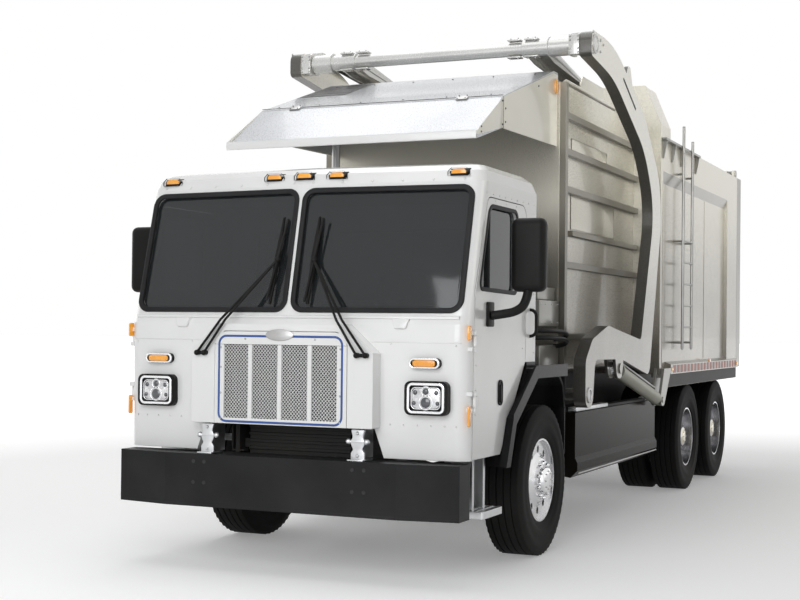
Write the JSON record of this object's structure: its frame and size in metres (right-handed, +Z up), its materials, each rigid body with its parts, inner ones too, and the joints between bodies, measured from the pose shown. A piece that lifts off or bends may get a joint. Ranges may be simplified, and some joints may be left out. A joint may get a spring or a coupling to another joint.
{
  "type": "garbage truck",
  "caption": "Front-loading garbage truck with a flat-nosed cab, bowed lift arms and forks over the cab, an open hopper and a long packer body with a hinged tailgate.",
  "frame": {"origin": "on the ground, on the centre plane, midway between the bumper face and the tailgate", "axes": "+X forward, +Y to the left of the truck, +Z up"},
  "size_m": [8.818, 3.1, 3.8838],
  "materials": {
    "cab_white": "gloss",
    "body_silver": "satin",
    "arm_white": "gloss",
    "chassis_black": "satin",
    "bumper_charcoal": "satin",
    "aluminium": "satin",
    "polished": "polished",
    "tyre": "matte",
    "glass": "polished",
    "amber": "gloss",
    "lamp": "gloss",
    "black_plastic": "satin",
    "seat": "matte",
    "steel": "satin"
  },
  "bodies": {
    "chassis": {"arm_supports": "body_silver", "body_runners": "chassis_black", "bumper": "bumper_charcoal", "cab_glass": "glass", "cab_interior": "seat", "cab_mounts": "chassis_black", "cab_shell": "cab_white", "cab_steps": "aluminium", "canopy": "body_silver", "engine_and_radiator": "chassis_black", "fender_flares": "black_plastic", "frame_rails": "chassis_black", "front_axle": "chassis_black", "grille": "cab_white", "grille_surround": "cab_white", "headlamps": "lamp", "hopper": "body_silver", "hopper_ribs": "body_silver", "ladder": "steel", "packer_body": "body_silver", "rear_axles": "chassis_black", "roof_lamps": "amber", "side_skirts": "black_plastic", "sill_shelves": "body_silver", "tow_brackets": "steel", "turn_signals": "amber", "wipers": "black_plastic"},
    "door_left": {"door_left": "cab_white", "door_glass_left": "glass", "mirror_left": "black_plastic"},
    "door_right": {"door_right": "cab_white", "door_glass_right": "glass", "mirror_right": "black_plastic"},
    "steer_left": {"knuckle_left": "chassis_black"},
    "steer_right": {"knuckle_right": "chassis_black"},
    "wheel_front_left": {"front_tyre_left": "tyre", "front_rim_left": "polished"},
    "wheel_front_right": {"front_tyre_right": "tyre", "front_rim_right": "polished"},
    "wheel_middle_left": {"middle_tyres_left": "tyre", "middle_rims_left": "polished"},
    "wheel_middle_right": {"middle_tyres_right": "tyre", "middle_rims_right": "polished"},
    "wheel_rear_left": {"rear_tyres_left": "tyre", "rear_rims_left": "polished"},
    "wheel_rear_right": {"rear_tyres_right": "tyre", "rear_rims_right": "polished"},
    "arms": {"lift_arms": "arm_white"},
    "forks": {"fork_frame": "arm_white"},
    "lift_barrels": {"lift_barrels": "arm_white"},
    "lift_rods": {"lift_rods": "polished"},
    "fork_barrels": {"fork_barrels": "chassis_black"},
    "fork_rods": {"fork_rods": "polished"},
    "packer": {"packer_blade": "steel"},
    "tailgate": {"tailgate": "body_silver"}
  },
  "joints": [
    {"name": "steering_left", "type": "hinge", "parent": "chassis", "child": "steer_left", "pos_m": [2.768, 0.905, 0.525], "axis": [0, 0, 1], "range_deg": [-35, 35]},
    {"name": "wheel_front_left_spin", "type": "hinge", "parent": "steer_left", "child": "wheel_front_left", "pos_m": [2.768, 1.085, 0.525], "axis": [0, 1, 0], "continuous": true},
    {"name": "wheel_middle_left_spin", "type": "hinge", "parent": "chassis", "child": "wheel_middle_left", "pos_m": [-1.855, 1.07, 0.525], "axis": [0, 1, 0], "continuous": true},
    {"name": "wheel_rear_left_spin", "type": "hinge", "parent": "chassis", "child": "wheel_rear_left", "pos_m": [-3.25, 1.07, 0.525], "axis": [0, 1, 0], "continuous": true},
    {"name": "door_left_hinge", "type": "hinge", "parent": "chassis", "child": "door_left", "pos_m": [4.168, 1.24, 1.6], "axis": [0, 0, -1], "range_deg": [0, 70]},
    {"name": "steering_right", "type": "hinge", "parent": "chassis", "child": "steer_right", "pos_m": [2.768, -0.905, 0.525], "axis": [0, 0, 1], "range_deg": [-35, 35]},
    {"name": "wheel_front_right_spin", "type": "hinge", "parent": "steer_right", "child": "wheel_front_right", "pos_m": [2.768, -1.085, 0.525], "axis": [0, 1, 0], "continuous": true},
    {"name": "wheel_middle_right_spin", "type": "hinge", "parent": "chassis", "child": "wheel_middle_right", "pos_m": [-1.855, -1.07, 0.525], "axis": [0, 1, 0], "continuous": true},
    {"name": "wheel_rear_right_spin", "type": "hinge", "parent": "chassis", "child": "wheel_rear_right", "pos_m": [-3.25, -1.07, 0.525], "axis": [0, 1, 0], "continuous": true},
    {"name": "door_right_hinge", "type": "hinge", "parent": "chassis", "child": "door_right", "pos_m": [4.168, -1.24, 1.6], "axis": [0, 0, 1], "range_deg": [0, 70]},
    {"name": "arms_lift", "type": "hinge", "parent": "chassis", "child": "arms", "pos_m": [1.914, 0, 1.086], "axis": [0, 1, 0], "range_deg": [0, 90]},
    {"name": "forks_tilt", "type": "hinge", "parent": "arms", "child": "forks", "pos_m": [1.841, 0, 3.755], "axis": [0, 1, 0], "range_deg": [0, 120]},
    {"name": "lift_barrels_swing", "type": "hinge", "parent": "chassis", "child": "lift_barrels", "pos_m": [-0.42, 0, 0.955], "axis": [0, -1, 0], "range_deg": [0, 9.52]},
    {"name": "lift_rods_stroke", "type": "slide", "parent": "lift_barrels", "child": "lift_rods", "axis": [0.9778, 0, 0.2095], "range_m": [0, 1.20459]},
    {"name": "fork_barrels_swing", "type": "hinge", "parent": "arms", "child": "fork_barrels", "pos_m": [0.6, 0, 3.77], "axis": [0, 1, 0], "range_deg": [0, 1.04]},
    {"name": "fork_rods_stroke", "type": "slide", "parent": "fork_barrels", "child": "fork_rods", "axis": [0.9972, 0, 0.0741], "range_m": [0, 0.3289]},
    {"name": "packer_stroke", "type": "slide", "parent": "chassis", "child": "packer", "axis": [-1, 0, 0], "range_m": [0, 2.1]},
    {"name": "tailgate_lift", "type": "hinge", "parent": "chassis", "child": "tailgate", "pos_m": [-4.15, 0, 3.42], "axis": [0, 1, 0], "range_deg": [0, 80]}
  ],
  "couplings": [
    {"joint": "steering_right", "follows": "steering_left", "ratio": 1},
    {"joint": "lift_barrels_swing", "follows": "arms_lift", "ratio": 0.10519},
    {"joint": "lift_rods_stroke", "follows": "arms_lift", "m_per_rad": 0.76655},
    {"joint": "fork_barrels_swing", "follows": "forks_tilt", "ratio": 0.008272},
    {"joint": "fork_rods_stroke", "follows": "forks_tilt", "m_per_rad": 0.1568}
  ]
}
